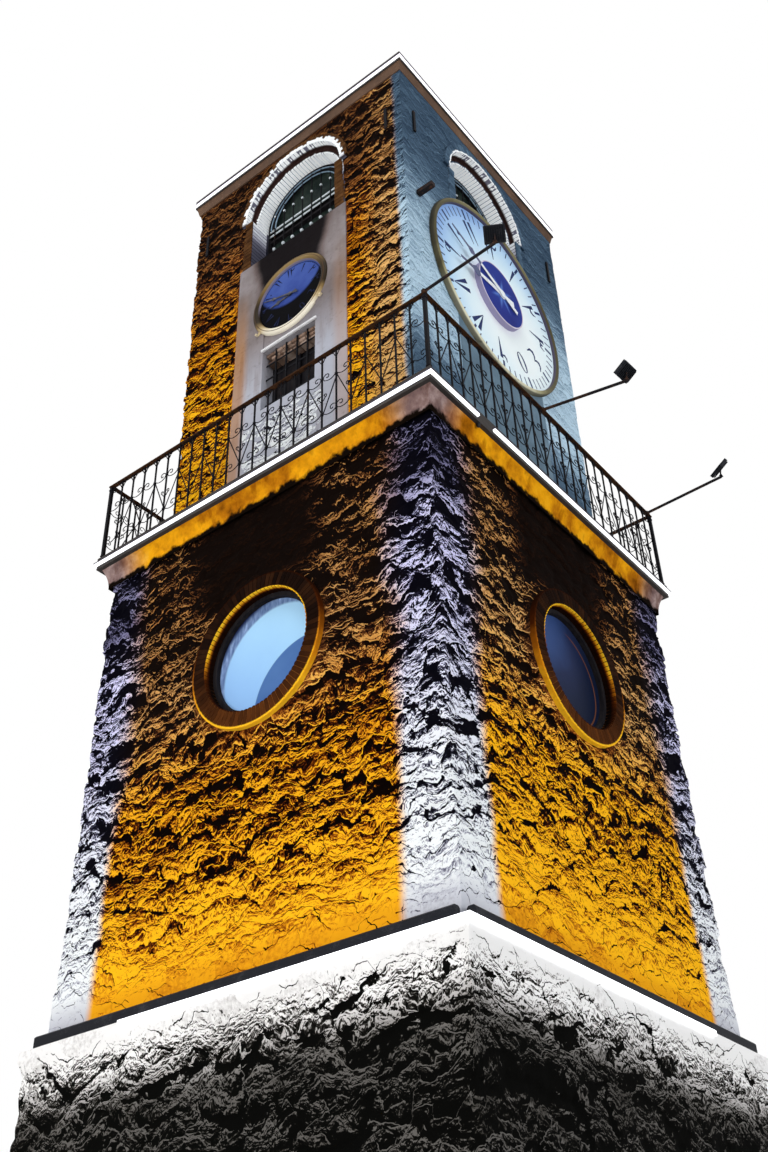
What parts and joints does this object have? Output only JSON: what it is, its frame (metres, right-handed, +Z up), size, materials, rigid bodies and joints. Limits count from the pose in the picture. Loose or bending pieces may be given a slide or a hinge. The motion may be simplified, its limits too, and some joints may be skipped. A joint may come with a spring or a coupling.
{
  "type": "clock tower",
  "caption": "Square rubble clock tower in three stages with round windows, a railed balcony, arched bays, lit edges and clock dials with turning hands.",
  "frame": {"origin": "on the tower's vertical axis at ground level, the underside of the walls", "axes": "+Z up; -Y is the front with a small dial and the door; +X is the right side with the large dial and the floodlight arms"},
  "size_m": [5.2575, 4.405, 15.11],
  "materials": {
    "base_stone": "rough rubble, matt",
    "middle_stone": "rough rubble, matt",
    "upper_stone": "rough rubble, matt",
    "window_brick": "matt brick",
    "arch_brick": "matt pale brick",
    "render": "stained plaster, matt",
    "slab": "cast slab, matt",
    "door_stone": "dressed stone, matt",
    "door_wood": "weathered oiled boards",
    "floor_wood": "worn boards",
    "window_frame": "dark painted wood",
    "pane": "pale blue pane",
    "iron": "near black paint with rust",
    "lamp": "dark grey housing",
    "light_strip": "lit white diffuser",
    "large_case": "pale gold rim",
    "large_face": "pale backlit face, dark centre and marks",
    "small_case": "pale gold rim",
    "small_face": "blue face",
    "hands": "dark blue paint"
  },
  "bodies": {
    "tower": {"ground_floor": "slab", "base_wall_front": "base_stone", "base_wall_back": "base_stone", "base_wall_left": "base_stone", "base_wall_right": "base_stone", "door_surround": "door_stone", "entrance_door": "door_wood", "window_room_floor": "floor_wood", "middle_wall_front": "middle_stone", "middle_wall_back": "middle_stone", "middle_wall_left": "middle_stone", "middle_wall_right": "middle_stone", "brick_rings": "window_brick", "round_window_frames": "window_frame", "round_window_panes": "pane", "balcony_cornice": "render", "balcony_slab": "slab", "balcony_light_strip": "light_strip", "railing_front": "iron", "railing_back": "iron", "railing_left": "iron", "railing_right": "iron", "floodlights": "lamp", "wall_washers": "lamp", "ledge_light_strips": "light_strip", "upper_wall_front": "upper_stone", "upper_wall_back": "upper_stone", "upper_wall_left": "upper_stone", "upper_wall_right": "upper_stone", "brick_arches": "arch_brick", "plain_infill": "render", "dial_infills": "render", "small_windows": "window_frame", "lunette_frames": "window_frame", "lunette_panes": "pane", "large_dial_case": "large_case", "large_dial_face": "large_face", "small_dial_cases": "small_case", "small_dial_faces": "small_face", "roof_moulding": "render", "roof_slab": "slab", "roof_light_strip": "light_strip", "wall_anchors": "iron", "wall_bracket": "iron", "dome_fixture": "lamp"},
    "large_minute_hand": {"large_minute_hand": "hands"},
    "large_hour_hand": {"large_hour_hand": "hands"},
    "front_minute_hand": {"front_minute_hand": "hands"},
    "front_hour_hand": {"front_hour_hand": "hands"},
    "left_minute_hand": {"left_minute_hand": "hands"},
    "left_hour_hand": {"left_hour_hand": "hands"},
    "back_minute_hand": {"back_minute_hand": "hands"},
    "back_hour_hand": {"back_hour_hand": "hands"}
  },
  "joints": [
    {"name": "large_minute_turn", "type": "hinge", "parent": "tower", "child": "large_minute_hand", "pos_m": [1.61, 0, 12.35], "axis": [1, 0, 0], "continuous": true},
    {"name": "large_hour_turn", "type": "hinge", "parent": "tower", "child": "large_hour_hand", "pos_m": [1.61, 0, 12.35], "axis": [1, 0, 0], "continuous": true},
    {"name": "front_minute_turn", "type": "hinge", "parent": "tower", "child": "front_minute_hand", "pos_m": [0, -1.61, 12.18], "axis": [0, -1, 0], "continuous": true},
    {"name": "front_hour_turn", "type": "hinge", "parent": "tower", "child": "front_hour_hand", "pos_m": [0, -1.61, 12.18], "axis": [0, -1, 0], "continuous": true},
    {"name": "left_minute_turn", "type": "hinge", "parent": "tower", "child": "left_minute_hand", "pos_m": [-1.61, 0, 12.18], "axis": [-1, 0, 0], "continuous": true},
    {"name": "left_hour_turn", "type": "hinge", "parent": "tower", "child": "left_hour_hand", "pos_m": [-1.61, 0, 12.18], "axis": [-1, 0, 0], "continuous": true},
    {"name": "back_minute_turn", "type": "hinge", "parent": "tower", "child": "back_minute_hand", "pos_m": [0, 1.61, 12.18], "axis": [0, 1, 0], "continuous": true},
    {"name": "back_hour_turn", "type": "hinge", "parent": "tower", "child": "back_hour_hand", "pos_m": [0, 1.61, 12.18], "axis": [0, 1, 0], "continuous": true}
  ],
  "couplings": [
    {"joint": "large_hour_turn", "follows": "large_minute_turn", "ratio": 0.083333},
    {"joint": "front_hour_turn", "follows": "front_minute_turn", "ratio": 0.083333},
    {"joint": "left_hour_turn", "follows": "left_minute_turn", "ratio": 0.083333},
    {"joint": "back_hour_turn", "follows": "back_minute_turn", "ratio": 0.083333}
  ]
}
